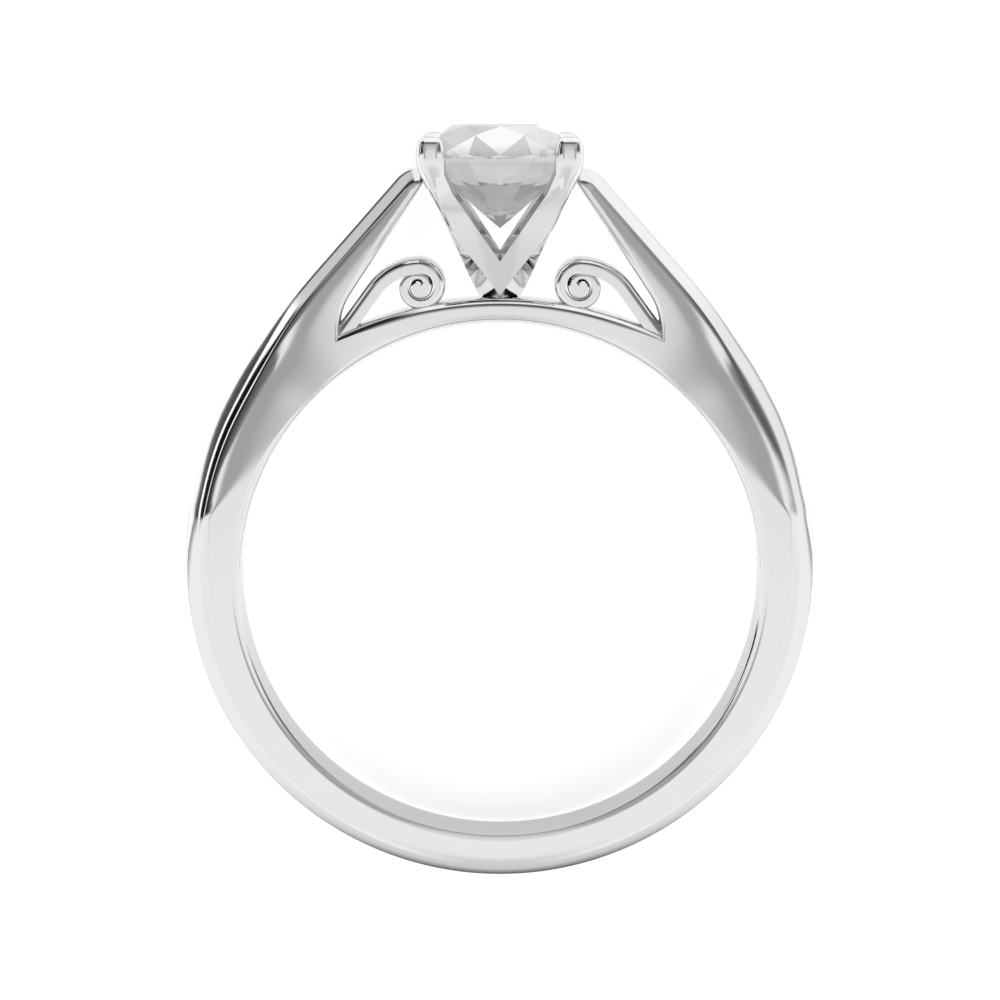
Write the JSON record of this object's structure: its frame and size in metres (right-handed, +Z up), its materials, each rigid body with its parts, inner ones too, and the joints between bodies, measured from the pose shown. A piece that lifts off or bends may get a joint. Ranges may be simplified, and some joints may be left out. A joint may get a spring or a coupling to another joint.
{
  "type": "cathedral ring",
  "caption": "White metal cathedral ring lying on its side, with a round brilliant stone in a four-claw head, arched shoulders, a bridge and a pair of small scrolls.",
  "frame": {"origin": "on the floor, under the middle of the ring's length", "axes": "+X across the finger hole, +Y from the bottom of the shank towards the stone, +Z up; the finger hole's axis leans about 4.4 degrees from +Z because the ring lies on its lower claws and the bottom of its shank"},
  "size_m": [0.02, 0.024, 0.0052],
  "materials": {
    "white_metal": "polished",
    "clear_stone": "polished"
  },
  "bodies": {
    "root": {"ring_metal": "white_metal", "stone": "clear_stone"}
  },
  "joints": []
}
